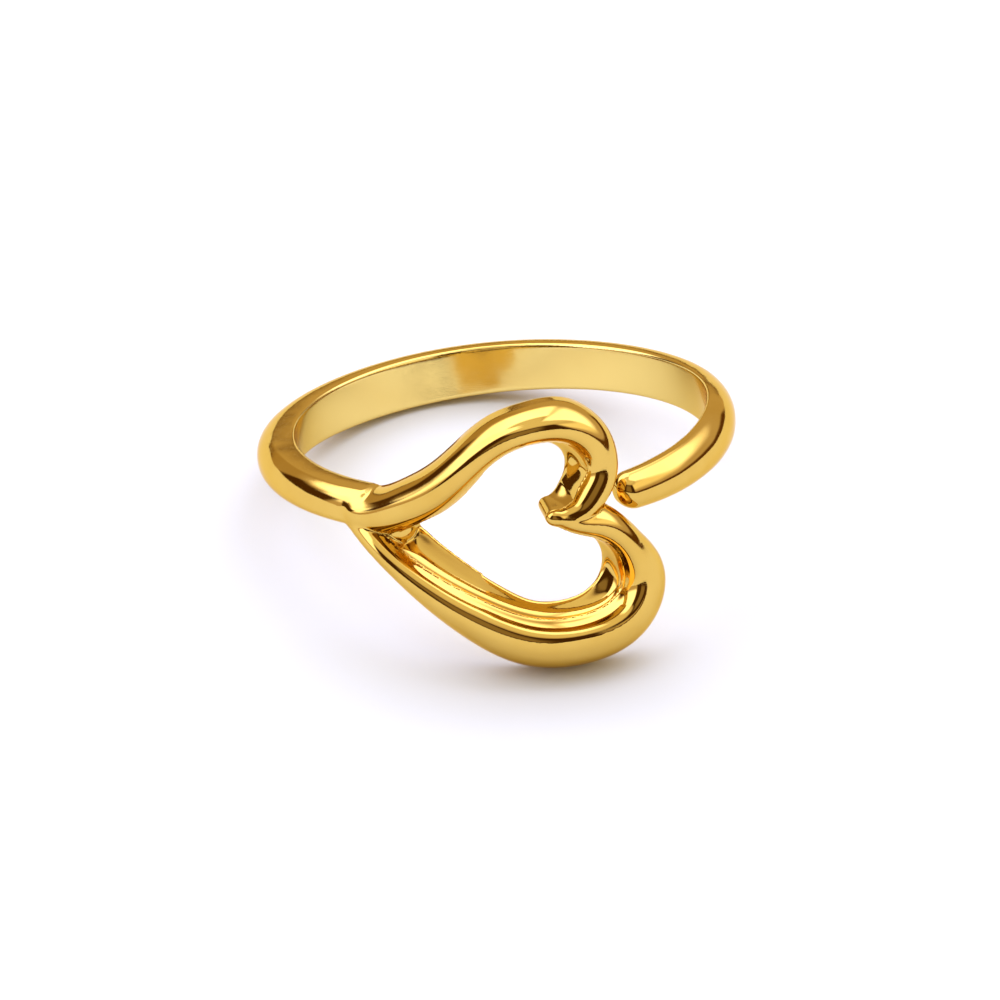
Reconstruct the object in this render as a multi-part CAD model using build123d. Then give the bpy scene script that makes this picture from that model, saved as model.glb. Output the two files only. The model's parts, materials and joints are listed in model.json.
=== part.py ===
from build123d import *
import math
import os

import numpy as np

# Heart ring: one casting, a band that is open at the front right and runs into an open heart.
# All lengths are millimetres.
#
# The ring is drawn in its own frame: the finger's axis is Z, the heart faces -Y, and a place
# on the ring is given by its girth (the way round the finger from the front, to the right),
# its rise (along the finger) and its height above the finger. At the end it is laid down.

# Band
FINGER_DIAMETER = 17.3
BAND_WIDTH = 1.95
BAND_THICKNESS = 1.45
# Radius of the band's outer edges, as a share of half its width
BAND_ROUNDING = 0.93
BAND_START_ANGLE = 28.5
BAND_SWEEP = 297.5
FREE_END_ROUND = 0.45

# Heart
HEART_LENGTH = 13.0
HEART_HEIGHT = 11.2
HEART_RISE = 2.15
TIP_GIRTH = -6.95
WIRE_WIDTH = 1.6
LIP_WIDTH = 0.9
LIP_THICKNESS = 0.30
# Depth of a wire's outer round as a share of its half width, and the deepest as a share of its top
OUTER_DEPTH = 1.9
DEEPEST_ROUND = 0.8
# Hollow between a wire and its lip, as shares of the height above the lip and of the lip's width
HOLLOW_HEIGHT = 0.35
HOLLOW_PLACE = 0.38

# Cleft point
CLEFT_RADIUS = 0.35
CLEFT_ALONG = 0.664
CLEFT_RISE = -0.002

FINGER_RADIUS = FINGER_DIAMETER / 2
# Girths are measured at this share of the wires' height above the finger
GIRTH_LEVEL = 0.63
GIRTH_RADIUS = FINGER_RADIUS + GIRTH_LEVEL * HEART_RISE
# Depth that every section reaches into the finger's hollow, before the hollow is cut
BORE_STOCK = 0.45
WIRE_SECTIONS = 26
# Search for the rest pose: how fine the surface is, in millimetres and radians, and how the lean
# is stepped, in degrees and then ever less
SURFACE_TOLERANCE = 0.01
SURFACE_ANGLE = 0.1
REST_HEADINGS = 36
REST_FIRST_LEAN = 8.0
REST_PRECISION = 1e-7

# Band sections, from the free end round the back to the left shoulder.
# turn: share of BAND_SWEEP. rise, width: shares of BAND_WIDTH. thickness: share of BAND_THICKNESS.
BAND_ROWS = [
    # turn, rise, width, thickness
    (0.000, -0.085, 0.82, 0.74),
    (0.040, -0.078, 0.91, 0.79),
    (0.107, -0.026, 1.03, 0.81),
    (0.170, 0.034, 1.14, 0.82),
    (0.225, 0.062, 1.15, 0.83),
    (0.352, 0.038, 1.08, 0.95),
    (0.510, 0.020, 1.14, 1.06),
    (0.674, 0.010, 1.12, 1.10),
    (0.795, 0.082, 0.95, 1.18),
    (0.893, 0.104, 0.87, 1.17),
    (1.000, 0.096, 0.83, 1.18),
]

# Wire sections along the crest. along: share of HEART_LENGTH from the tip. rise: share of
# HEART_HEIGHT from the finger's middle. top: crest over the finger, drop: height of the inner
# round, both shares of HEART_RISE. outer, inner: shares of WIRE_WIDTH. lip: share of LIP_WIDTH.
UPPER_WIRE_ROWS = [
    # along, rise, top, outer, inner, drop, lip
    (-0.050, 0.020, 0.66, 0.37, 0.50, 0.36, 0.06),
    (-0.004, 0.014, 0.84, 0.43, 0.56, 0.38, 0.06),
    (0.061, 0.013, 0.90, 0.49, 0.60, 0.40, 0.11),
    (0.181, 0.057, 0.93, 0.52, 0.63, 0.41, 0.20),
    (0.277, 0.110, 0.97, 0.53, 0.60, 0.40, 0.29),
    (0.396, 0.210, 1.00, 0.51, 0.48, 0.35, 0.36),
    (0.507, 0.302, 1.00, 0.47, 0.42, 0.31, 0.37),
    (0.619, 0.341, 1.00, 0.45, 0.43, 0.32, 0.46),
    (0.758, 0.319, 1.00, 0.54, 0.48, 0.36, 0.53),
    (0.823, 0.248, 1.00, 0.56, 0.46, 0.34, 0.50),
    (0.839, 0.125, 1.00, 0.51, 0.42, 0.32, 0.50),
    (0.808, 0.054, 1.00, 0.50, 0.45, 0.33, 0.47),
    (0.757, 0.000, 1.00, 0.42, 0.38, 0.28, 0.40),
    (0.685, -0.010, 1.00, 0.23, 0.23, 0.17, 0.30),
]
LOWER_WIRE_ROWS = [
    # along, rise, top, outer, inner, drop, lip
    (0.685, -0.006, 1.00, 0.23, 0.23, 0.17, 0.30),
    (0.742, -0.037, 1.00, 0.37, 0.32, 0.24, 0.16),
    (0.823, -0.067, 1.00, 0.45, 0.42, 0.31, 0.16),
    (0.886, -0.133, 1.00, 0.48, 0.38, 0.33, 0.17),
    (0.926, -0.224, 1.00, 0.71, 0.36, 0.42, 0.40),
    (0.937, -0.333, 1.00, 1.02, 0.38, 0.50, 0.72),
    (0.897, -0.416, 1.00, 1.08, 0.38, 0.54, 0.81),
    (0.741, -0.477, 1.00, 1.04, 0.37, 0.54, 0.65),
    (0.560, -0.460, 1.00, 0.95, 0.42, 0.50, 0.54),
    (0.403, -0.371, 1.00, 0.82, 0.40, 0.46, 0.66),
    (0.234, -0.232, 1.00, 0.65, 0.31, 0.40, 0.80),
    (0.090, -0.090, 0.96, 0.56, 0.28, 0.36, 0.62),
    (0.012, -0.022, 0.80, 0.59, 0.34, 0.36, 0.20),
]


def around(angle, radius, rise):
    """A point at an angle from the front, towards the right."""
    turn = math.radians(angle)
    return Vector(radius * math.sin(turn), -radius * math.cos(turn), rise)


def band_section(turn, rise, width, thickness):
    """A flat back against the finger and two round outer edges."""
    angle = BAND_START_ANGLE + turn * BAND_SWEEP
    middle = rise * BAND_WIDTH
    half = width * BAND_WIDTH / 2
    outside = FINGER_RADIUS + thickness * BAND_THICKNESS
    inside = FINGER_RADIUS - BORE_STOCK
    edge = BAND_ROUNDING * half
    bend = edge * (1 - math.sqrt(0.5))

    def at(radius, side):
        return around(angle, radius, middle + side)

    return Wire([
        Line(at(inside, half), at(outside - edge, half)),
        ThreePointArc(at(outside - edge, half), at(outside - bend, half - bend), at(outside, half - edge)),
        Line(at(outside, half - edge), at(outside, edge - half)),
        ThreePointArc(at(outside, edge - half), at(outside - bend, bend - half), at(outside - edge, -half)),
        Line(at(outside - edge, -half), at(inside, -half)),
        Line(at(inside, -half), at(inside, half)),
    ])


def at_share(start, end, share):
    """The value a share of the way from start to end."""
    return start + share * (end - start)


def wire_place(row):
    """Girth and rise of a row of a wire."""
    return Vector(TIP_GIRTH + row[0] * HEART_LENGTH, row[1] * HEART_HEIGHT)


def wire_section(place, heading, form):
    """A round crest between an outer wall and a hollow that runs down to the lip, inside the heart."""
    angle = math.degrees(place.X / GIRTH_RADIUS)
    outward = around(angle, 1, 0)
    sideways = around(angle + 90, 1, 0)
    inward = Vector(heading.Y, -heading.X)
    across = sideways * inward.X + Vector(0, 0, 1) * inward.Y
    top, drop = form[0] * HEART_RISE, form[3] * HEART_RISE
    outer, inner = form[1] * WIRE_WIDTH, form[2] * WIRE_WIDTH
    fall = min(OUTER_DEPTH * outer, DEEPEST_ROUND * top)
    reach = inner + form[4] * LIP_WIDTH
    hollow = at_share(LIP_THICKNESS, top - drop, HOLLOW_HEIGHT)
    valley = at_share(inner, reach, HOLLOW_PLACE)
    slant = math.sqrt(0.5)

    def at(side, height):
        radius = FINGER_RADIUS + height
        bend = side * inward.X / GIRTH_RADIUS
        spread = math.hypot(radius * math.sin(bend), side * inward.Y)
        foot = Vector(0, 0, place.Y) + outward * (radius * math.cos(bend))
        return foot + across * math.copysign(spread, side)

    corners = [
        at(-outer, -BORE_STOCK), at(-outer, top - fall), at(0, top), at(inner, top - drop),
        at(reach, LIP_THICKNESS), at(reach, -BORE_STOCK),
    ]
    outer_bend = at(-outer * slant, top - fall + fall * slant)
    inner_bend = at(inner * slant, top - drop + drop * slant)
    return Wire([
        Line(corners[0], corners[1]),
        ThreePointArc(corners[1], outer_bend, corners[2]),
        ThreePointArc(corners[2], inner_bend, corners[3]),
        ThreePointArc(corners[3], at(valley, hollow), corners[4]),
        Line(corners[4], corners[5]),
        Line(corners[5], corners[0]),
    ])


def blend_rows(shares, values, share):
    """A value between rows, on a curve that keeps each row's value and an even slope."""
    last = len(values) - 1
    slopes = []
    for index in range(last + 1):
        before, after = max(index - 1, 0), min(index + 1, last)
        slopes.append((values[after] - values[before]) / (shares[after] - shares[before]))
    index = next((i for i in range(last) if share <= shares[i + 1]), last - 1)
    gap = shares[index + 1] - shares[index]
    t = (share - shares[index]) / gap
    rise = values[index + 1] - values[index]
    curve = (slopes[index] * gap - rise) * (1 - t) + (rise - slopes[index + 1] * gap) * t
    return values[index] + t * rise + t * (1 - t) * curve


def heart_wire(rows):
    """A wire lofted through even sections of the smooth curve that its rows lie on."""
    places = [wire_place(row) for row in rows]
    course = Spline(*places)
    shares = [course.param_at_point(place) for place in places]
    sections = []
    for index in range(WIRE_SECTIONS):
        share = index / (WIRE_SECTIONS - 1)
        form = [blend_rows(shares, column, share) for column in zip(*[row[2:] for row in rows])]
        sections.append(wire_section(course.position_at(share), course.tangent_at(share), form))
    return Solid.make_loft(sections)


def band():
    """The band, with the edges of its free end rounded."""
    blank = Solid.make_loft([band_section(*row) for row in BAND_ROWS])
    end_face = blank.faces().sort_by_distance(around(BAND_START_ANGLE, FINGER_RADIUS + BAND_THICKNESS / 2, 0))[0]
    inside = blank.edges().sort_by_distance(around(BAND_START_ANGLE, FINGER_RADIUS - BORE_STOCK, 0))[0]
    rims = [edge for edge in end_face.edges() if not edge.is_same(inside)]
    return blank.fillet(FREE_END_ROUND, rims)


def cleft_point():
    """The round-headed post where the two wires meet."""
    girth = TIP_GIRTH + CLEFT_ALONG * HEART_LENGTH
    angle = math.degrees(girth / GIRTH_RADIUS)
    foot = around(angle, FINGER_RADIUS - BORE_STOCK, CLEFT_RISE * HEART_HEIGHT)
    outward = around(angle, 1, 0)
    shaft = HEART_RISE + BORE_STOCK - CLEFT_RADIUS
    post = Solid.make_cylinder(CLEFT_RADIUS, shaft, Plane(foot, z_dir=outward))
    head = Solid.make_sphere(CLEFT_RADIUS, Plane(foot + outward * shaft))
    return post.fuse(head)


def rest_direction(solid):
    """The direction that points up when the ring lies by itself on a table.

    A thing rests where its middle of mass is lowest above the plane that it lies on. The search
    starts with the finger's axis upright and turns the plane by ever smaller steps.
    """
    points = np.array([tuple(vertex) for vertex in solid.tessellate(SURFACE_TOLERANCE, SURFACE_ANGLE)[0]])
    points -= np.array(tuple(solid.center(CenterOf.MASS)))
    headings = [2 * math.pi * index / REST_HEADINGS for index in range(REST_HEADINGS)]
    steps = np.array([(math.cos(heading), math.sin(heading)) for heading in headings])
    lean = np.zeros(2)
    step = math.tan(math.radians(REST_FIRST_LEAN))

    def heights(leans):
        ups = np.column_stack([leans, np.ones(len(leans))])
        ups /= np.linalg.norm(ups, axis=1)[:, None]
        return -(points @ ups.T).min(axis=0)

    lowest = heights(lean[None])[0]
    while step > REST_PRECISION:
        tries = lean + step * steps
        found = heights(tries)
        if found.min() < lowest:
            lowest = found.min()
            lean = tries[found.argmin()]
        else:
            step /= 2
    return Vector(lean[0], lean[1], 1).normalized()


def heart_ring():
    """The whole casting in the ring's own frame, with the finger's hollow cut a quarter at a time."""
    casting = band().fuse(heart_wire(UPPER_WIRE_ROWS)).fuse(heart_wire(LOWER_WIRE_ROWS))
    casting = casting.fuse(cleft_point())
    length = 4 * HEART_HEIGHT
    for start in (45, 135, 225, 315):
        quarter = Plane((0, 0, -length / 2), x_dir=around(start, 1, 0))
        casting = casting.cut(Solid.make_cylinder(FINGER_RADIUS, length, quarter, angle=90))
    return casting


if __name__ == "__main__":
    os.makedirs("parts", exist_ok=True)
    ring = heart_ring()
    print("solids", len(ring.solids()), "valid", ring.is_valid, "volume", round(ring.volume, 3))
    up = rest_direction(ring)
    hinge = Axis((0, 0, 0), up.cross(Vector(0, 0, 1)))
    turn = math.degrees(math.acos(up.Z))
    laid = ring.rotate(hinge, turn)
    box = laid.bounding_box()
    foot = Vector(box.center().X, box.center().Y, box.min.Z)
    finger_axis = Vector(0, 0, 1).rotate(hinge, turn)
    print("up in the ring's own frame", up)
    print("finger's axis", finger_axis, "through", -foot)
    export_step(laid.solid().translate(-foot), "parts/heart_ring.step")
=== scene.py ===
# %% [markdown]
# # A polished gold heart ring
# The real ring is one small casting: a band that stays open at the front, and a heart drawn with two wires
# that melt into the band's left shoulder. It lies on a white table under big soft lamps, and nearly all
# that the eye gets from it is the mirror image of those lamps. So this lesson has three parts: a very
# smooth surface, a gold that is almost a mirror, and a room that is worth mirroring.

# %% Load the fixed frame
import json
import math
import bpy
import numpy as np
from mathutils import Matrix, Vector


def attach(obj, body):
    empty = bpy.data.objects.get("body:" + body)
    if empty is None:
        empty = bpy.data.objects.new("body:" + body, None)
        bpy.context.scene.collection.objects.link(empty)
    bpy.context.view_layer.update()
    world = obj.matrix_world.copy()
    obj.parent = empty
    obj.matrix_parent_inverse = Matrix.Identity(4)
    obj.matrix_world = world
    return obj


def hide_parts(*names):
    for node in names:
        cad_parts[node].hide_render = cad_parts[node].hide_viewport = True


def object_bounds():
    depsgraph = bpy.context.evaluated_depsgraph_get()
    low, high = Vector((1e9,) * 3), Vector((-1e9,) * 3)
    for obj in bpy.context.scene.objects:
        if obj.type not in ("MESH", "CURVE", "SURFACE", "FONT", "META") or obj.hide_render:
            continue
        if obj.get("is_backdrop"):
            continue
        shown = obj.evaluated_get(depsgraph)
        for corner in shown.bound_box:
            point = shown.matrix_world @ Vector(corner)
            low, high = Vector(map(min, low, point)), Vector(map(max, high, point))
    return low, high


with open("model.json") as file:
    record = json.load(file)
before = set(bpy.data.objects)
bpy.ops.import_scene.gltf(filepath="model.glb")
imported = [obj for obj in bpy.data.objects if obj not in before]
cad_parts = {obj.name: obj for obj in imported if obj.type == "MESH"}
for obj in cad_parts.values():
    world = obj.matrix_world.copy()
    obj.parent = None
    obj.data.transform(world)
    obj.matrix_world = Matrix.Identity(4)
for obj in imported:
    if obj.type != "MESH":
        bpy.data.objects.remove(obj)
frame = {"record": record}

cad_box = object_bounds()
MM = 0.001
print("CAD box in mm:", [round(v / MM, 3) for corner in cad_box for v in corner])

# %% [markdown]
# ## The ring's own axes
# A ring is drawn round its finger, with Z along the finger, X to the wearer's right and Y away from the
# heart. This one lies on its side and leans on its heart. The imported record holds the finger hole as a
# mount, so the finger's axis comes from there, and one turn takes every point of the drawing to the table.

# %% The finger's axis on the table
finger = frame["record"]["mounts"][0]
finger_axis = Vector(finger["axis"]).normalized()
finger_place = Vector(finger["pos_m"])
lay_down = Vector((0, 0, 1)).rotation_difference(finger_axis).to_matrix()
print("the finger's axis:", [round(v, 4) for v in finger_axis])

# %% [markdown]
# ## The camera first
# Setting the camera before any shape lets each later step be judged in the same picture. The photograph
# looks a little down on the ring from the front, so the camera is placed by its tilt and roll round the
# ring's own axes and by its distance, and then it is laid down together with the ring.

# %% Camera at the photograph's viewing angle
CAMERA_TILT, CAMERA_ROLL = math.radians(19.9), math.radians(5.3)
CAMERA_DISTANCE = 288.33 * MM
CAMERA_RIGHT, CAMERA_UP = -0.1092 * MM, -2.6467 * MM
FILM_WIDTH, PICTURE_PIXELS, PIXELS_PER_METRE = 36.0, 1000, 23803
tilt_sin, tilt_cos = math.sin(CAMERA_TILT), math.cos(CAMERA_TILT)
roll_sin, roll_cos = math.sin(CAMERA_ROLL), math.cos(CAMERA_ROLL)
view_right = lay_down @ Vector((roll_cos, -roll_sin * tilt_sin, -roll_sin * tilt_cos))
view_up = lay_down @ Vector((roll_sin, roll_cos * tilt_sin, roll_cos * tilt_cos))
view_ahead = lay_down @ Vector((0, tilt_cos, -tilt_sin))
camera = bpy.data.objects.new("camera", bpy.data.cameras.new("camera"))
bpy.context.scene.collection.objects.link(camera)
turn = Matrix((view_right, view_up, -view_ahead)).transposed()
camera.matrix_world = turn.to_4x4()
camera.location = (finger_place + CAMERA_RIGHT * view_right + CAMERA_UP * view_up
                   - CAMERA_DISTANCE * view_ahead)
camera.data.lens = FILM_WIDTH * CAMERA_DISTANCE / (PICTURE_PIXELS / PIXELS_PER_METRE)
camera.data.sensor_width = FILM_WIDTH
camera.data.clip_start, camera.data.clip_end = 0.01, 20
bpy.context.scene.camera = camera
print("camera height in mm:", round(camera.location.z / MM, 1), "lens:", round(camera.data.lens, 1))

# %% [markdown]
# ## Sizes of the casting
# A ring is measured on the finger it fits, here 17.3 mm. The heart is drawn flat, on the paper you would
# get by unrolling the finger: `along` runs round the finger and `rise` runs up it. Every line is drawn by a
# few rows that a goldsmith could check with a caliper, written as shares of one size, so the drawing grows
# and shrinks as a whole.

# %% Named sizes in millimetres
FINGER_RADIUS = 17.3 / 2
BAND_WIDTH, BAND_THICKNESS = 1.95, 1.45
BAND_START_ANGLE, BAND_SWEEP = 28.5, 297.5
BAND_ROUNDING = 0.93
HEART_LENGTH, HEART_HEIGHT, HEART_RISE = 13.0, 11.2, 2.15
TIP_GIRTH = -6.95
WIRE_WIDTH, LIP_THICKNESS = 1.6, 0.30
GIRTH_RADIUS = FINGER_RADIUS + 0.63 * HEART_RISE

# %% Rows of the band: turn, rise, width, thickness, skew of the crest
band_rows = [
    (0.000, -0.085, 0.82, 0.74, 0.00), (0.040, -0.078, 0.91, 0.79, 0.00),
    (0.107, -0.026, 1.03, 0.81, 0.00), (0.170, 0.034, 1.14, 0.82, 0.00),
    (0.225, 0.062, 1.15, 0.83, 0.00), (0.352, 0.038, 1.08, 0.95, 0.00),
    (0.510, 0.020, 1.14, 1.06, 0.00), (0.674, 0.010, 1.12, 1.10, 0.00),
    (0.795, 0.082, 0.95, 1.18, 0.02), (0.893, 0.104, 0.87, 1.17, 0.17),
    (1.000, 0.096, 0.83, 1.18, 0.42)]
END_SLANT = 0.18

# %% Rows of the heart's wires: along, rise, top, outer and inner half width, inner drop
upper_wire_rows = [
    (-0.050, 0.020, 0.66, 0.37, 0.50, 0.36), (-0.004, 0.014, 0.83, 0.43, 0.56, 0.38),
    (0.061, 0.013, 0.89, 0.49, 0.60, 0.40), (0.181, 0.057, 0.93, 0.52, 0.63, 0.41),
    (0.277, 0.110, 0.97, 0.53, 0.60, 0.40), (0.396, 0.210, 1.00, 0.51, 0.48, 0.35),
    (0.507, 0.302, 1.00, 0.47, 0.42, 0.31), (0.619, 0.341, 1.00, 0.44, 0.43, 0.32),
    (0.758, 0.319, 1.00, 0.54, 0.48, 0.36), (0.823, 0.248, 1.00, 0.58, 0.46, 0.34),
    (0.839, 0.125, 1.00, 0.53, 0.42, 0.32), (0.808, 0.054, 1.00, 0.50, 0.45, 0.33),
    (0.757, 0.000, 1.00, 0.42, 0.38, 0.28), (0.685, -0.010, 1.00, 0.23, 0.23, 0.17)]
lower_wire_rows = [
    (0.685, -0.006, 1.00, 0.23, 0.23, 0.17), (0.742, -0.037, 1.00, 0.37, 0.32, 0.24),
    (0.823, -0.067, 1.00, 0.45, 0.42, 0.31), (0.886, -0.133, 1.00, 0.48, 0.38, 0.33),
    (0.926, -0.224, 1.00, 0.71, 0.36, 0.42), (0.937, -0.333, 1.00, 1.04, 0.38, 0.50),
    (0.897, -0.416, 1.00, 1.08, 0.38, 0.54), (0.741, -0.477, 1.00, 1.04, 0.37, 0.54),
    (0.560, -0.460, 1.00, 0.97, 0.42, 0.50), (0.403, -0.371, 1.00, 0.85, 0.40, 0.46),
    (0.234, -0.232, 1.00, 0.67, 0.31, 0.40), (0.090, -0.090, 0.96, 0.56, 0.28, 0.36),
    (0.012, -0.022, 0.80, 0.59, 0.34, 0.36)]
OUTER_DEPTH, DEEPEST = 1.9, 0.8

# %% Rows of the hole's edge at the finger, from the tip over the top and back: along, rise
hole_rows = [
    (0.180, -0.056), (0.219, -0.040), (0.284, -0.009), (0.350, 0.037), (0.407, 0.089), (0.458, 0.144),
    (0.503, 0.190), (0.547, 0.222), (0.600, 0.240), (0.657, 0.240), (0.704, 0.226), (0.732, 0.200),
    (0.745, 0.163), (0.739, 0.117), (0.714, 0.070), (0.686, 0.035), (0.658, 0.008), (0.650, -0.015),
    (0.656, -0.042), (0.681, -0.070), (0.729, -0.105), (0.790, -0.137), (0.835, -0.170), (0.855, -0.215),
    (0.854, -0.268), (0.838, -0.306), (0.806, -0.341), (0.762, -0.365), (0.700, -0.376), (0.645, -0.375),
    (0.590, -0.363), (0.539, -0.337), (0.481, -0.297), (0.420, -0.251), (0.361, -0.204), (0.305, -0.156),
    (0.248, -0.106), (0.205, -0.068), (0.180, -0.056)]
CLEFT_ALONG, CLEFT_RISE, CLEFT_RADIUS = 0.664, -0.002, 0.35
WEB_ALONG, WEB_RISE, WEB_RADIUS, WEB_HEIGHT = 0.135, -0.062, 0.85, 1.35

# %% [markdown]
# ## A smooth line through few rows
# A polished surface shows every kink twice as strongly, in its reflections. A natural cubic bends without
# any jump in curvature, so a highlight that runs along the wire never breaks. It also gives its slope and
# bend, which the next step needs.


# %% A curve through rows
class SmoothLine:
    """A natural cubic through rows of values, placed at their knots."""

    def __init__(self, knots, values):
        self.knots, values = np.asarray(knots, float), np.asarray(values, float)
        count, gap = len(knots), np.diff(knots)
        slope = np.diff(values, axis=0) / gap[:, None]
        matrix, right = np.zeros((count, count)), np.zeros(values.shape)
        matrix[0, 0] = matrix[-1, -1] = 1
        for i in range(1, count - 1):
            matrix[i, i - 1:i + 2] = gap[i - 1], 2 * (gap[i - 1] + gap[i]), gap[i]
            right[i] = 6 * (slope[i] - slope[i - 1])
        bend = np.linalg.solve(matrix, right)
        self.value = values[:-1]
        self.slope = slope - gap[:, None] * (2 * bend[:-1] + bend[1:]) / 6
        self.bend, self.twist = bend[:-1] / 2, np.diff(bend, axis=0) / (6 * gap[:, None])

    def at(self, places, order=0):
        """The values at some places along the line, with order 1 their slope, with order 2 their bend."""
        part = np.clip(np.searchsorted(self.knots, places, "right") - 1, 0, len(self.value) - 1)
        s = (places - self.knots[part])[:, None]
        value, slope, bend, twist = self.value[part], self.slope[part], self.bend[part], self.twist[part]
        if order == 0:
            return value + s * (slope + s * (bend + s * twist))
        if order == 1:
            return slope + s * (2 * bend + 3 * s * twist)
        return 2 * bend + 6 * s * twist


# %% [markdown]
# ## Metal that melts together
# In wax and in casting the wires flow into each other with small hollow fillets. Each piece is written here
# as a distance: negative inside the metal, positive outside. Two distances are joined with a soft minimum,
# and the fillet comes by itself, as wide as the goldsmith's knife would leave it.


# %% Soft joining and soft cutting
def joined(first, second, softness):
    """The smaller of two distances. Where they are alike, a fillet fills the corner."""
    near = np.maximum(softness - np.abs(first - second), 0) / softness
    return np.minimum(first, second) - near ** 3 * softness / 6


def cut_by(metal, tool, softness):
    """The metal without the tool, with a soft edge where the two meet."""
    return -joined(-metal, -tool, softness)


# %% [markdown]
# ## One wire of the heart
# Its section is a dome: a flank that falls to the outside, a crest, and a flank that falls to the inside,
# each a quarter of an ellipse. Below the dome the inner side swings out to a thin lip, the edge of the hole
# at the finger. The crest of the lower wire lies far to the inside, which gives its broad pale outer flank.


# %% A line on the unrolled finger
STOPS, BATCH = 120, 20000
STEPS, LONGEST_STEP, LEAST_HOLD = 3, 0.1, 0.15


def on_paper(rows):
    """Millimetres on the unrolled finger, from shares of the heart's length and height."""
    return np.c_[TIP_GIRTH + rows[:, 0] * HEART_LENGTH, rows[:, 1] * HEART_HEIGHT]


class PaperLine:
    """A line through rows of along and rise. The other columns of the rows go with it."""

    def __init__(self, rows):
        rows = np.array(rows)
        places = on_paper(rows)
        knots = np.r_[0, np.cumsum(np.linalg.norm(np.diff(places, axis=0), axis=1))]
        self.course, self.form = SmoothLine(knots, places), SmoothLine(knots, rows[:, 2:])
        self.stops = np.linspace(0, knots[-1], STOPS)
        self.stop_places = self.course.at(self.stops)

    def nearest(self, places):
        """The nearest point of the line, and how far it is away: positive on the line's right."""
        first = np.empty(len(places), int)
        for start in range(0, len(places), BATCH):
            some = places[start:start + BATCH]
            away = (some[:, None, :] - self.stop_places[None, :, :]) ** 2
            first[start:start + BATCH] = away.sum(2).argmin(1)
        at = self.stops[first]
        # from the nearest stop a few Newton steps along the line, none of them long
        for _ in range(STEPS):
            off, slope = places - self.course.at(at), self.course.at(at, 1)
            push = (off * slope).sum(1)
            hold = np.maximum((slope ** 2).sum(1) - (off * self.course.at(at, 2)).sum(1), LEAST_HOLD)
            step = np.clip(push / hold, -LONGEST_STEP, LONGEST_STEP)
            at = np.clip(at + step, 0, self.stops[-1])
        off, slope = places - self.course.at(at), self.course.at(at, 1)
        side = np.sign(slope[:, 1] * off[:, 0] - slope[:, 0] * off[:, 1])
        return at, side * np.hypot(off[:, 0], off[:, 1])


# %% The distance to a wire
FLARE, SINK, LIP_ROUNDING, FOOT_JOINT, FOOT_REACH = 1.9, 0.03, 0.30, 0.42, 1.6
LEAST_DEPTH, FARTHEST_SWING, TINY = 0.2, 2, 1e-5


def wire_distance(wire, places, height, hole):
    """How far points lie outside one wire: places on the paper, at some height over the finger."""
    at, across = wire.nearest(places)
    top, outer, inner, drop = wire.form.at(at).T
    top, outer, inner, drop = top * HEART_RISE, outer * WIRE_WIDTH, inner * WIRE_WIDTH, drop * HEART_RISE
    drop = np.minimum(drop, DEEPEST * top)
    # the dome's outer and inner half are quarters of two ellipses, each as wide and deep as its rows say
    wide = np.where(across < 0, outer, inner)
    deep = np.where(across < 0, np.minimum(OUTER_DEPTH * outer, DEEPEST * top), drop)
    up = np.maximum(height - (top - deep), 0)
    share, pull = np.hypot(across / wide, up / deep), np.hypot(across / wide ** 2, up / deep ** 2)
    dome = np.where(pull > TINY, share * (share - 1) / np.maximum(pull, TINY), -np.minimum(wide, deep))
    # the foot goes on from the dome's steep inner wall and swings out to the hole's edge
    shoulder = top - drop
    depth = np.maximum(shoulder - LIP_THICKNESS, LEAST_DEPTH)
    fall = np.maximum(joined(np.maximum(shoulder - height, 0) / depth, 1.0, LIP_ROUNDING), 0)
    wall = across - inner + SINK
    swing = FLARE * np.clip(wall - hole, 0, FARTHEST_SWING) / depth * fall ** (FLARE - 1)
    foot = (wall + fall ** FLARE * (hole - wall)) / np.sqrt(1 + swing ** 2)
    foot = np.maximum(np.maximum(foot, height - shoulder), np.maximum(-across, -hole - FOOT_REACH))
    return joined(dome, foot, FOOT_JOINT)


upper_wire, lower_wire = PaperLine(upper_wire_rows), PaperLine(lower_wire_rows)
hole_edge = PaperLine(hole_rows)
print("wires in mm:", round(upper_wire.stops[-1], 2), round(lower_wire.stops[-1], 2))

# %% [markdown]
# ## The band
# Seen in section the band is a dome that sits flat on the finger. Its sides aren't quite flat: the wheel
# leaves them a little crowned, and so the horizon draws a line along them. Both of its ends are rounded,
# the right one because it is worn next to the skin, and the left one so that the heart can flow out of it.

# %% The band's distance
CROWN, CROWN_MIDDLE, CROWN_BELOW, CROWN_ABOVE = 0.06, 0.55, -0.9, 0.6
END_ROUNDING = 0.9
band_line = SmoothLine([row[0] for row in band_rows], [row[1:] for row in band_rows])
SPARE_TURN = (360 / BAND_SWEEP - 1) / 2


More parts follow.
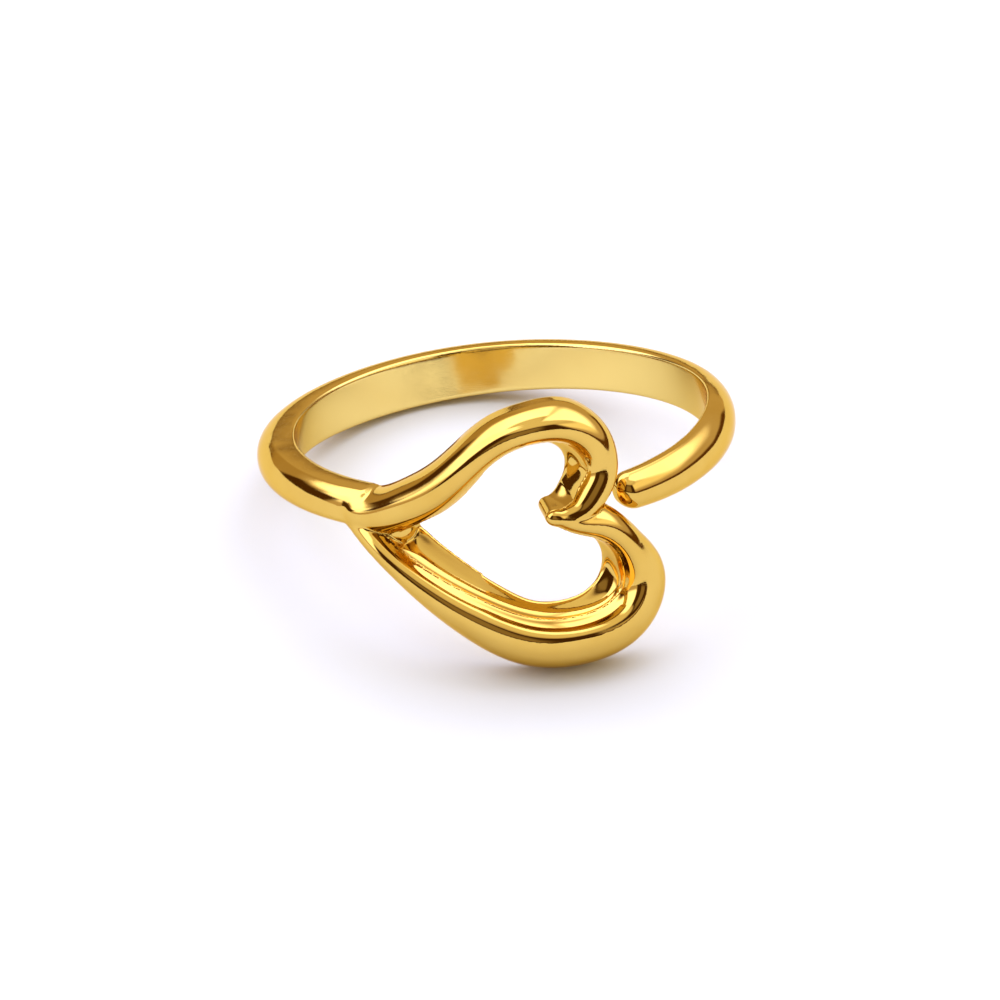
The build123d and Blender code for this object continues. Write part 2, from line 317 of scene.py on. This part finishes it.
def band_distance(angle, rise, height):
    """How far points lie outside the band. Its turn runs from 0 at the free end to 1 at the shoulder."""
    turned = ((np.degrees(angle) - BAND_START_ANGLE) % 360) / BAND_SWEEP
    turned = np.where(turned > 1 + SPARE_TURN, turned - 360 / BAND_SWEEP, turned)
    middle, width, thick, skew = band_line.at(np.clip(turned, 0, 1)).T
    half = width * BAND_WIDTH / 2
    rounding = half * BAND_ROUNDING
    off = rise - middle * BAND_WIDTH + skew * half
    crown = CROWN * np.clip(height - CROWN_MIDDLE, CROWN_BELOW, CROWN_ABOVE) ** 2
    sideways = np.abs(off) / (1 + np.where(off > 0, skew, -skew)) - (half - rounding) + crown
    outward = height - (thick * BAND_THICKNESS - rounding)
    beyond = -np.where(turned < 0.5, turned, 1 - turned)
    beyond = beyond * math.radians(BAND_SWEEP) * (FINGER_RADIUS + height)
    beyond = beyond + rounding * END_ROUNDING + END_SLANT * (middle * BAND_WIDTH + half - rise)
    out = [np.maximum(part, 0) for part in (sideways, outward, beyond)]
    inside = np.minimum(np.maximum(np.maximum(sideways, outward), beyond), 0)
    return np.sqrt(out[0] ** 2 + out[1] ** 2 + out[2] ** 2) + inside - rounding


# %% [markdown]
# ## The whole casting
# The order is the goldsmith's: wires to each other, a small post where they meet at the cleft, a low web
# that fills the narrow tip between them, the band, and last the finger hole, reamed clean through
# everything. The softness of each joint is the fillet seen there. Polishing takes the last two hundredths
# of a millimetre off.

# %% The casting's distance
WIRE_JOINT, CLEFT_JOINT, BAND_JOINT, FINGER_EDGE = 0.18, 0.25, 0.16, 0.22
POLISHED_OFF = 0.02
HEART_ANGLE, FAR_AWAY = 1.1, 9.0


def away_from(places, along, rise):
    """How far places on the paper lie from one point, which is given by its shares."""
    return np.hypot(places[:, 0] - (TIP_GIRTH + along * HEART_LENGTH), places[:, 1] - rise * HEART_HEIGHT)


def casting_distance(points):
    """How far points lie outside the metal, in millimetres on the ring's own axes."""
    x, y, rise = points.T
    height = np.hypot(x, y) - FINGER_RADIUS
    angle = np.arctan2(x, -y)
    places = np.c_[angle * GIRTH_RADIUS, rise]
    off = away_from(places, CLEFT_ALONG, CLEFT_RISE)
    cleft = np.hypot(off, np.maximum(height - (HEART_RISE - CLEFT_RADIUS), 0)) - CLEFT_RADIUS
    off = away_from(places, WEB_ALONG, WEB_RISE)
    web = (np.hypot(off / WEB_RADIUS, height / WEB_HEIGHT) - 1) * WEB_RADIUS
    metal = np.full(len(points), FAR_AWAY)
    front = np.abs(angle) < HEART_ANGLE
    places, lifted = places[front], height[front]
    hole = hole_edge.nearest(places)[1]
    metal[front] = joined(wire_distance(upper_wire, places, lifted, hole),
                          wire_distance(lower_wire, places, lifted, hole), WIRE_JOINT)
    metal = joined(joined(metal, cleft, CLEFT_JOINT), web, WIRE_JOINT)
    metal = joined(metal, band_distance(angle, rise, height), BAND_JOINT)
    return cut_by(metal, -height, FINGER_EDGE) + POLISHED_OFF


def casting_slope(points, step=1e-3):
    """The slope of the distance, which points straight out of the metal."""
    slope = np.empty_like(points)
    for axis in range(3):
        move = np.zeros(3)
        move[axis] = step
        slope[:, axis] = (casting_distance(points + move) - casting_distance(points - move)) / (2 * step)
    return slope


# %% [markdown]
# ## From distance to mesh
# A voxel grid is laid through the metal, first a coarse one, to find where the surface runs, then a fine
# one only there. Every fine cell that the surface crosses gets one vertex, and every grid line that it
# crosses gets one quad. Such a net is made of quads of one size, with no poles and no slivers, which is
# what a mirror finish needs.

# %% A net of quads
COARSE, SURE = 4, 1.17
RING_MIDDLE, RING_REACH = 1.1, 1.9


def corner_steps():
    """The steps from a cell's first corner to all eight."""
    return [np.array((a, b, c)) for a in (0, 1) for b in (0, 1) for c in (0, 1)]


def fine_grid(cell, lowest, highest):
    """Distances at the corners of all fine cells. Far from the surface the coarse ones do."""
    count = (np.ceil((np.array(highest) - lowest) / cell).astype(int) // COARSE + 1) * COARSE
    coarse_count = count // COARSE
    middle = np.stack(np.meshgrid(*[lowest[i] + cell * COARSE * (np.arange(coarse_count[i]) + 0.5)
                                    for i in range(3)], indexing="ij"), -1)
    rough = np.full(coarse_count, FAR_AWAY)
    off_middle = np.hypot(middle[..., 0], middle[..., 1]) - FINGER_RADIUS - RING_MIDDLE
    ring_zone = np.abs(off_middle) < RING_REACH
    rough[ring_zone] = casting_distance(middle[ring_zone])
    crossed = np.argwhere(np.abs(rough) < cell * COARSE * SURE) * COARSE
    values = rough
    for axis in range(3):
        values = np.repeat(values, COARSE, axis)
    values = np.pad(values, ((0, 1),) * 3, mode="edge")
    needed = np.zeros(values.shape, bool)
    for a in range(COARSE + 1):
        for b in range(COARSE + 1):
            for c in range(COARSE + 1):
                needed[tuple((crossed + (a, b, c)).T)] = True
    values[needed] = casting_distance(lowest + cell * np.argwhere(needed))
    return values


def net_of_quads(cell, lowest, highest):
    """One vertex in each cell that the surface crosses, and one quad round each crossed grid line."""
    lowest = np.array(lowest)
    values = fine_grid(cell, lowest, highest)
    inside = values < 0
    cell_shape = tuple(size - 1 for size in values.shape)
    filled = sum(inside[a:a + cell_shape[0], b:b + cell_shape[1], c:c + cell_shape[2]].astype(np.int8)
                 for a, b, c in corner_steps())
    cells = np.argwhere((filled > 0) & (filled < 8))
    number = np.full(cell_shape, -1, np.int32)
    number[tuple(cells.T)] = np.arange(len(cells))
    total, hits = np.zeros((len(cells), 3)), np.zeros(len(cells))
    for corner in corner_steps():
        for axis in np.flatnonzero(corner == 0):
            far = corner + np.eye(3, dtype=int)[axis]
            start, end = values[tuple((cells + corner).T)], values[tuple((cells + far).T)]
            crossed = (start < 0) != (end < 0)
            place = np.tile(corner.astype(float), (crossed.sum(), 1))
            place[:, axis] = start[crossed] / (start[crossed] - end[crossed])
            total[crossed] += place
            hits[crossed] += 1
    vertices = lowest + cell * (cells + total / hits[:, None])
    quads = []
    for axis, (u, v) in enumerate(((1, 2), (2, 0), (0, 1))):
        ahead = np.diff(inside.astype(np.int8), axis=axis)
        edges = np.argwhere(ahead != 0)
        safe = [(edges[:, k] > 0) & (edges[:, k] < cell_shape[k]) for k in (u, v)]
        edges = edges[safe[0] & safe[1]]
        du, dv = np.eye(3, dtype=int)[u], np.eye(3, dtype=int)[v]
        quad = np.stack([number[tuple((edges - step).T)] for step in (du + dv, dv, 0 * du, du)], 1)
        outward = ahead[tuple(edges.T)] < 0
        quad[~outward] = quad[~outward][:, ::-1]
        quads.append(quad)
    return vertices, np.concatenate(quads)


# %% [markdown]
# ## Polishing the net
# The raw net follows the grid a little. Each round first drops every vertex exactly onto the surface, and
# then slides it along the surface to the middle of its neighbours, as a polishing stone would even it out.
# The slope of the distance is the true normal, and it is kept: shading from it hides that there are any
# faces at all.


# %% Polish
LEAST_SLOPE, LONGEST_DROP, SLIDE = 0.2, 0.08, 0.6


def polished(vertices, quads, rounds=3):
    """The vertices on the surface and evenly spread along it, and the surface's normals there."""
    edges = np.concatenate([quads[:, [k, (k + 1) % 4]] for k in range(4)])
    edges = np.concatenate([edges, edges[:, ::-1]])
    friends = np.bincount(edges[:, 0], minlength=len(vertices))[:, None]
    for left in range(rounds, 0, -1):
        slope = casting_slope(vertices)
        steep = np.maximum((slope ** 2).sum(1, keepdims=True), LEAST_SLOPE)
        drop = np.clip(casting_distance(vertices)[:, None] / steep, -LONGEST_DROP, LONGEST_DROP)
        vertices = vertices - drop * slope
        if left > 1:
            middle = np.stack([np.bincount(edges[:, 0], vertices[edges[:, 1], axis], len(vertices))
                               for axis in range(3)], 1) / friends
            slide = middle - vertices
            vertices = vertices + SLIDE * (slide - (slide * slope).sum(1, keepdims=True) * slope / steep)
    vertices = vertices - casting_distance(vertices)[:, None] / steep * slope
    normals = casting_slope(vertices)
    return vertices, normals / np.linalg.norm(normals, axis=1, keepdims=True)


# %% Build the casting
CELL = 0.09
GRID_LOWEST, GRID_HIGHEST = (-11.2, -11.5, -7.3), (11.2, 11.2, 5.3)
net, quads = net_of_quads(CELL, GRID_LOWEST, GRID_HIGHEST)
net, normals = polished(net, quads)
to_table = np.array(lay_down)
net = net @ to_table.T * MM + np.array(finger_place)
normals = normals @ to_table.T
ring_mesh = bpy.data.meshes.new("ring_casting")
ring_mesh.from_pydata(net.tolist(), [], quads.tolist())
ring_mesh.shade_smooth()
ring_mesh.normals_split_custom_set_from_vertices(normals.tolist())
ring_mesh.validate()
ring_casting = bpy.data.objects.new("ring_casting", ring_mesh)
bpy.context.scene.collection.objects.link(ring_casting)
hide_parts("heart_ring")
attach(ring_casting, "root")
print("quads:", len(quads), "box in mm:", np.round(net.min(0) / MM, 3), np.round(net.max(0) / MM, 3))

# %% [markdown]
# ## Polished gold
# Gold is a metal: it has no colour under its surface, only a tint in its mirror image, so the shader is
# metallic and its base colour is that tint. The polishing wheel leaves three things behind: a soft waviness
# you see in the edges of reflections, a faint haze that comes and goes, and hair-fine scratches that only
# show where they cross a highlight. Each gets its own noise at its true size.

# %% Node helpers
def new_material(name):
    """An empty material, its nodes and its links."""
    material = bpy.data.materials.new(name)
    material.use_nodes = True
    material.node_tree.nodes.clear()
    return material, material.node_tree.nodes, material.node_tree.links


def add_node(nodes, kind, **settings):
    """A new node with some of its settings made."""
    node = nodes.new(kind)
    for key, value in settings.items():
        setattr(node, key, value)
    return node


def noise(nodes, links, place, size, detail, roughness=0.5, stretch=None):
    """Noise whose features are about `size` metres across. `stretch` draws it out along X."""
    if stretch:
        mapping = nodes.new("ShaderNodeMapping")
        mapping.inputs["Rotation"].default_value = stretch[1]
        mapping.inputs["Scale"].default_value = (1 / stretch[0], 1, 1)
        links.new(place, mapping.inputs["Vector"])
        place = mapping.outputs["Vector"]
    node = nodes.new("ShaderNodeTexNoise")
    node.inputs["Scale"].default_value = 1 / size
    node.inputs["Detail"].default_value = detail
    node.inputs["Roughness"].default_value = roughness
    links.new(place, node.inputs["Vector"])
    return node.outputs["Fac"]


def ranged(nodes, links, value, low, high, new_low, new_high):
    """A value taken smoothly from one range to another, and held at its ends."""
    node = add_node(nodes, "ShaderNodeMapRange", interpolation_type="SMOOTHSTEP")
    for key, number in (("From Min", low), ("From Max", high), ("To Min", new_low), ("To Max", new_high)):
        node.inputs[key].default_value = number
    links.new(value, node.inputs["Value"])
    return node.outputs["Result"]


def combined(nodes, links, operation, first, second):
    """The result of one operation on two values, either of which may be a plain number."""
    node = add_node(nodes, "ShaderNodeMath", operation=operation)
    for socket, value in zip(node.inputs, (first, second)):
        if isinstance(value, (int, float)):
            socket.default_value = value
        else:
            links.new(value, socket)
    return node.outputs["Value"]


# %% The gold's tints
GOLD_TINT = (0.73, 0.475, 0.106, 1)
GOLD_DEEP = (0.69, 0.432, 0.086, 1)
# the inside's paler tint is a painted brighter reflection, not a colour of the metal
GOLD_INSIDE_PAINTED_REFLECTION = (0.83, 0.61, 0.19, 1)
GOLD_RIM = (0.95, 0.80, 0.50, 1)
PATCH_SIZE = 2.6 * MM
gold, nodes, links = new_material("polished_gold")
place = nodes.new("ShaderNodeTexCoord").outputs["Object"]
shader = nodes.new("ShaderNodeBsdfPrincipled")
shader.inputs["Metallic"].default_value = 1.0
shader.inputs["Base Color"].default_value = GOLD_TINT
shader.inputs["Specular Tint"].default_value = GOLD_RIM
links.new(shader.outputs["BSDF"], nodes.new("ShaderNodeOutputMaterial").inputs["Surface"])
tint = add_node(nodes, "ShaderNodeMix", data_type="RGBA")
tint.inputs[6].default_value, tint.inputs[7].default_value = GOLD_TINT, GOLD_DEEP
patches = noise(nodes, links, place, PATCH_SIZE, detail=3.0)
links.new(ranged(nodes, links, patches, 0.35, 0.7, 0.0, 1.0), tint.inputs[0])
ring_mesh.materials.append(gold)

# %% The inside is only tumbled, not buffed on the wheel, so more hazy; its paler tint is a painted brighter reflection
INSIDE_FULL, INSIDE_GONE = (FINGER_RADIUS + 0.03) * MM, (FINGER_RADIUS + 0.12) * MM
off_axis = add_node(nodes, "ShaderNodeVectorMath", operation="SUBTRACT")
off_axis.inputs[1].default_value = finger_place
links.new(place, off_axis.inputs[0])
turned = add_node(nodes, "ShaderNodeVectorMath", operation="CROSS_PRODUCT")
turned.inputs[1].default_value = finger_axis
links.new(off_axis.outputs["Vector"], turned.inputs[0])
radius = add_node(nodes, "ShaderNodeVectorMath", operation="LENGTH")
links.new(turned.outputs["Vector"], radius.inputs[0])
inside = ranged(nodes, links, radius.outputs["Value"], INSIDE_FULL, INSIDE_GONE, 1.0, 0.0)
# painted reflection: a paler copy of the gold on the finger side stands in for its brighter mirror image;
# the haze added below is real roughness
inner_painted_reflection = add_node(nodes, "ShaderNodeMix", data_type="RGBA")
inner_painted_reflection.inputs[7].default_value = GOLD_INSIDE_PAINTED_REFLECTION
links.new(inside, inner_painted_reflection.inputs[0])
links.new(tint.outputs[2], inner_painted_reflection.inputs[6])
links.new(inner_painted_reflection.outputs[2], shader.inputs["Base Color"])

# %% Haze and wiping marks
HAZE_SIZE, WIPE_SIZE, WIPE_LENGTH = 0.9 * MM, 0.06 * MM, 9
CLEAREST, HAZIEST, WIPED, TUMBLED = 0.035, 0.075, 0.03, 0.07
haze = noise(nodes, links, place, HAZE_SIZE, detail=4.0, roughness=0.6)
haze = ranged(nodes, links, haze, 0.3, 0.75, CLEAREST, HAZIEST)
wiped = noise(nodes, links, place, WIPE_SIZE, detail=2.0, stretch=(WIPE_LENGTH, (0.4, 0.3, 0.9)))
wiped = ranged(nodes, links, wiped, 0.45, 0.75, 0.0, WIPED)
rough = combined(nodes, links, "ADD", haze, wiped)
rough = combined(nodes, links, "ADD", rough, combined(nodes, links, "MULTIPLY", inside, TUMBLED))
links.new(rough, shader.inputs["Roughness"])

# %% Hairlines in three directions, over the wheel's soft waves
HAIRLINES = [((0.2, 0.5, 0.3), 0.035), ((1.1, -0.4, 1.4), 0.028), ((-0.7, 0.9, 2.3), 0.042)]
HAIRLINE_LENGTH, HAIRLINE_DEPTH = 26, 0.0004 * MM
WAVE_SIZE, WAVE_HEIGHT = 1.9 * MM, 0.028 * MM
hairlines = None
for spin, size in HAIRLINES:
    line = noise(nodes, links, place, size * MM, detail=1.0, stretch=(HAIRLINE_LENGTH, spin))
    line = ranged(nodes, links, line, 0.60, 0.74, 0.0, 1.0)
    hairlines = line if hairlines is None else combined(nodes, links, "MAXIMUM", hairlines, line)
waves = noise(nodes, links, place, WAVE_SIZE, detail=1.5, roughness=0.35)
bump_waves = nodes.new("ShaderNodeBump")
bump_waves.inputs["Strength"].default_value = 1.0
bump_waves.inputs["Distance"].default_value = WAVE_HEIGHT
links.new(waves, bump_waves.inputs["Height"])
bump_lines = add_node(nodes, "ShaderNodeBump", invert=True)
bump_lines.inputs["Strength"].default_value = 0.5
bump_lines.inputs["Distance"].default_value = HAIRLINE_DEPTH
links.new(hairlines, bump_lines.inputs["Height"])
links.new(bump_waves.outputs["Normal"], bump_lines.inputs["Normal"])
links.new(bump_lines.outputs["Normal"], shader.inputs["Normal"])
print("gold nodes:", len(nodes))

# %% [markdown]
# ## The table
# The pale table does two jobs. It is the background, and its mirror image is the wide tan flank of every
# wire, because everything that looks down sees it. It is far larger than the picture, so no edge of it
# shows in the gold.

# %% A pale matt table
TABLE_SIDE, TABLE_COLOUR = 4.0, (0.79, 0.80, 0.755, 1)
table_mesh = bpy.data.meshes.new("table")
half_side = TABLE_SIDE / 2
table_mesh.from_pydata([(-half_side, -half_side, 0), (half_side, -half_side, 0),
                        (half_side, half_side, 0), (-half_side, half_side, 0)], [], [(0, 1, 2, 3)])
table = bpy.data.objects.new("table", table_mesh)
bpy.context.scene.collection.objects.link(table)
paper, nodes, links = new_material("matt_paper")
shader = nodes.new("ShaderNodeBsdfPrincipled")
shader.inputs["Base Color"].default_value = TABLE_COLOUR
shader.inputs["Roughness"].default_value = 0.9
shader.inputs["Specular IOR Level"].default_value = 0.1
links.new(shader.outputs["BSDF"], nodes.new("ShaderNodeOutputMaterial").inputs["Surface"])
table_mesh.materials.append(paper)
table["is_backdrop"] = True

# %% [markdown]
# ## The room in the mirror
# A jeweller's picture is lit by a few large soft lamps in a room that is darker in front, where the camera
# stands. A world shader can hold such a room: each lamp or dark gap is a window in the compass direction
# round the table and the height over it, with soft edges. All of them are far away, so they look the same
# from every point of the ring.

# %% Directions round the table
world = bpy.data.worlds.new("studio")
bpy.context.scene.world = world
world.use_nodes = True
nodes, links = world.node_tree.nodes, world.node_tree.links
nodes.clear()
ray = nodes.new("ShaderNodeTexCoord").outputs["Generated"]
split = nodes.new("ShaderNodeSeparateXYZ")
links.new(ray, split.inputs["Vector"])
climb = combined(nodes, links, "ARCSINE", split.outputs["Z"], 0.0)
climb = combined(nodes, links, "MULTIPLY", climb, 180 / math.pi)
behind = combined(nodes, links, "MULTIPLY", split.outputs["Y"], -1.0)
compass = combined(nodes, links, "ARCTAN2", split.outputs["X"], behind)
compass = combined(nodes, links, "MULTIPLY", compass, 180 / math.pi)


def window(left, right, low, high, edge):
    """1 inside the window, 0 outside, with an edge of that many degrees."""
    middle, half = (left + right) / 2, (right - left) / 2
    off = combined(nodes, links, "ADD", compass, 540.0 - middle)
    off = combined(nodes, links, "MODULO", off, 360.0)
    off = combined(nodes, links, "ABSOLUTE", combined(nodes, links, "SUBTRACT", off, 180.0), 0.0)
    sides = ranged(nodes, links, off, half - edge, half + edge, 1.0, 0.0)
    floor_edge = ranged(nodes, links, climb, low - edge, low + edge, 0.0, 1.0)
    top_edge = ranged(nodes, links, climb, high - edge, high + edge, 1.0, 0.0)
    inside_both = combined(nodes, links, "MULTIPLY", sides, floor_edge)
    return combined(nodes, links, "MULTIPLY", inside_both, top_edge)


# %% Lamps and dark gaps: left, right, low, high, edge, brightness, colour
WHITE, CREAM = (0.97, 1.0, 1.3), (1.0, 0.95, 0.85)
TAN, BROWN = (1.0, 0.74, 0.46), (1.0, 0.42, 0.07)
ROOM = (0.70, 0.57, 0.47, 1)
studio = [
    (-180, 180, 58, 120, 10, 1.05, CREAM), (35, 100, 22, 52, 8, 1.4, CREAM),
    (95, 170, 28, 84, 8, 2.5, WHITE), (-112, -52, 14, 74, 5, 2.4, WHITE),
    (-186, -108, 24, 60, 4, 2.8, WHITE), (-168, -132, -3, 19, 4, 0.55, TAN),
    (-136, -94, -9, 19, 3, 0.09, BROWN), (165, 208, -9, 2.0, 3, 0.15, BROWN),
    (30, 150, -9, 9, 2.5, 0.14, BROWN), (-50, 35, -9, 53, 4, 0.07, BROWN),
    (-20, 14, 7, 46, 5, 0.34, TAN)]
level = None
for left, right, low, high, edge, brightness, colour in studio:
    mix = add_node(nodes, "ShaderNodeMix", data_type="RGBA")
    links.new(window(left, right, low, high, edge), mix.inputs[0])
    if level is None:
        mix.inputs[6].default_value = ROOM
    else:
        links.new(level, mix.inputs[6])
    mix.inputs[7].default_value = [brightness * part for part in colour] + [1]
    level = mix.outputs[2]
sky = nodes.new("ShaderNodeBackground")
links.new(level, sky.inputs["Color"])
links.new(sky.outputs["Background"], nodes.new("ShaderNodeOutputWorld").inputs["Surface"])
bpy.context.scene.view_settings.view_transform = "Standard"
bpy.context.scene.view_settings.look = "None"
print("studio windows:", len(studio))

# %% Sizes, and the end of the lesson
shown_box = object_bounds()
beyond = [max(cad_box[0][i] - shown_box[0][i], shown_box[1][i] - cad_box[1][i], 0) for i in range(3)]
print("beyond the CAD box in mm:", [round(past / MM, 4) for past in beyond])
